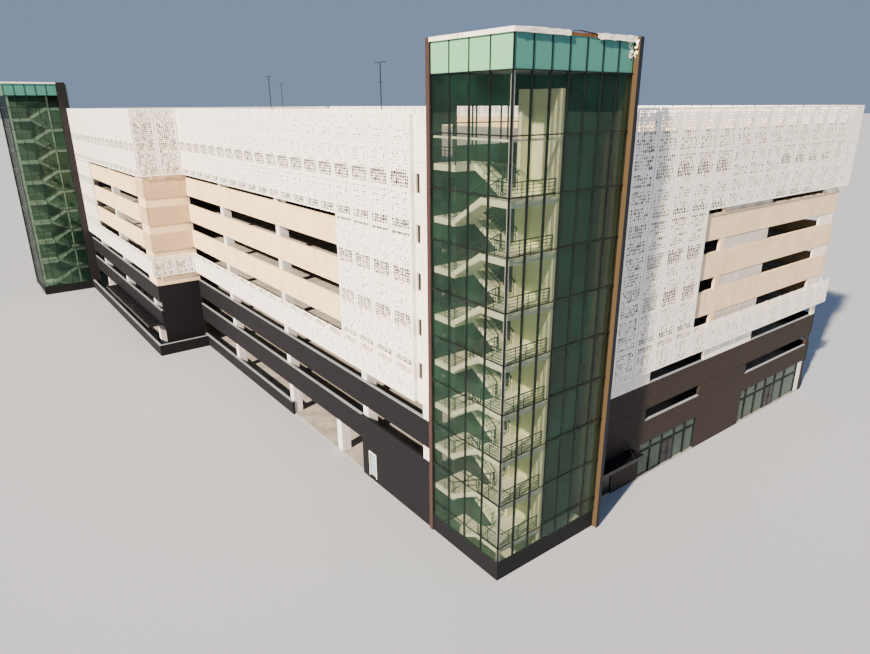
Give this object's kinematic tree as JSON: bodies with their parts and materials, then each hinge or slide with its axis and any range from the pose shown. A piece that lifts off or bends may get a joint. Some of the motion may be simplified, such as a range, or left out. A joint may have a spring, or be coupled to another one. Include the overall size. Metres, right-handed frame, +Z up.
{
  "type": "multi storey car park, 1:10 scale model",
  "caption": "Open-deck parking building with dark base, cream spandrels, white perforated screens and two green-glass stair towers; street doors swing.",
  "frame": {"origin": "middle of the building's box, at ground level", "axes": "+X along the long front towards the street, +Y from the front to the rear, +Z up"},
  "size_m": [10.649, 6.141, 3.354],
  "materials": {
    "concrete_deck": "broomed concrete",
    "white_concrete": "painted concrete",
    "dark_brick": "thin brick",
    "cream_precast": "precast concrete",
    "grey_precast": "precast concrete",
    "knee_cap": "cast stone",
    "screen_white": "powder coated perforated sheet",
    "screen_rail": "powder coated",
    "bar_metal": "anodised dark",
    "tower_glass": "green tinted glass",
    "shop_glass": "clear glass",
    "green_panel": "back painted glass",
    "coping_white": "painted sheet metal",
    "blocking_wood": "sheathing board",
    "fin_metal": "metal panel",
    "stair_concrete": "precast concrete",
    "core_paint": "painted board",
    "door_grey": "painted steel",
    "door_glass": "dark framed glass door",
    "canopy_black": "painted steel",
    "lamp_dark": "painted aluminium"
  },
  "bodies": {
    "building": {"ground_floor": "concrete_deck", "deck_level_2": "concrete_deck", "deck_level_3": "concrete_deck", "deck_level_4": "concrete_deck", "deck_level_5": "concrete_deck", "deck_level_6": "concrete_deck", "deck_level_7": "concrete_deck", "deck_level_8": "concrete_deck", "roof_deck": "concrete_deck", "outer_columns": "white_concrete", "inner_columns": "white_concrete", "dark_spandrels_front": "dark_brick", "cream_spandrels_front": "cream_precast", "dark_spandrels_rear": "dark_brick", "cream_spandrels_rear": "cream_precast", "tower_link_wall": "cream_precast", "front_base_wall": "dark_brick", "return_base_wall": "dark_brick", "wing_corner_panels": "cream_precast", "knee_walls": "dark_brick", "knee_wall_caps": "knee_cap", "wing_canopy": "canopy_black", "street_base_wall": "dark_brick", "street_corner_column": "white_concrete", "cream_panels_street": "cream_precast", "grey_infill_street": "grey_precast", "white_fascia_street": "white_concrete", "shopfront_bars": "bar_metal", "shopfront_glass": "shop_glass", "street_thresholds": "concrete_deck", "street_canopy": "canopy_black", "screens_front": "screen_white", "screens_wing": "screen_white", "screens_street": "screen_white", "screens_rear": "screen_white", "screen_rails": "screen_rail", "tower_a_flights": "stair_concrete", "tower_a_landings": "stair_concrete", "tower_b_flights": "stair_concrete", "tower_b_landings": "stair_concrete", "tower_core_walls": "core_paint", "tower_plinths": "dark_brick", "tower_green_bands": "green_panel", "tower_a_glass_bars": "bar_metal", "tower_b_glass_bars": "bar_metal", "tower_glass": "tower_glass", "tower_fins": "fin_metal", "tower_deck_walls": "core_paint", "tower_roofs": "core_paint", "tower_copings": "coping_white", "coping_blocking": "blocking_wood", "tower_a_corner_posts": "white_concrete", "roof_lights": "lamp_dark"},
    "service_door": {"service_door": "door_grey"},
    "lobby_door_left": {"lobby_door_left": "door_glass"},
    "lobby_door_right": {"lobby_door_right": "door_glass"},
    "shop_1_door_left": {"shop_1_door_left": "door_glass"},
    "shop_1_door_right": {"shop_1_door_right": "door_glass"},
    "shop_2_door_left": {"shop_2_door_left": "door_glass"},
    "shop_2_door_right": {"shop_2_door_right": "door_glass"}
  },
  "joints": [
    {"name": "service_door_hinge", "type": "hinge", "parent": "building", "child": "service_door", "pos_m": [3.7325, -1.706, 0.038], "axis": [0, 0, -1], "range_deg": [0, 90]},
    {"name": "lobby_door_left_hinge", "type": "hinge", "parent": "building", "child": "lobby_door_left", "pos_m": [5.1, -0.5095, 0.018], "axis": [0, 0, -1], "range_deg": [0, 90]},
    {"name": "lobby_door_right_hinge", "type": "hinge", "parent": "building", "child": "lobby_door_right", "pos_m": [5.1, -0.3355, 0.018], "axis": [0, 0, 1], "range_deg": [0, 90]},
    {"name": "shop_1_door_left_hinge", "type": "hinge", "parent": "building", "child": "shop_1_door_left", "pos_m": [5.1, 0.3775, 0.018], "axis": [0, 0, -1], "range_deg": [0, 90]},
    {"name": "shop_1_door_right_hinge", "type": "hinge", "parent": "building", "child": "shop_1_door_right", "pos_m": [5.1, 0.5195, 0.018], "axis": [0, 0, 1], "range_deg": [0, 90]},
    {"name": "shop_2_door_left_hinge", "type": "hinge", "parent": "building", "child": "shop_2_door_left", "pos_m": [5.1, 2.1455, 0.018], "axis": [0, 0, -1], "range_deg": [0, 90]},
    {"name": "shop_2_door_right_hinge", "type": "hinge", "parent": "building", "child": "shop_2_door_right", "pos_m": [5.1, 2.3075, 0.018], "axis": [0, 0, 1], "range_deg": [0, 90]}
  ]
}
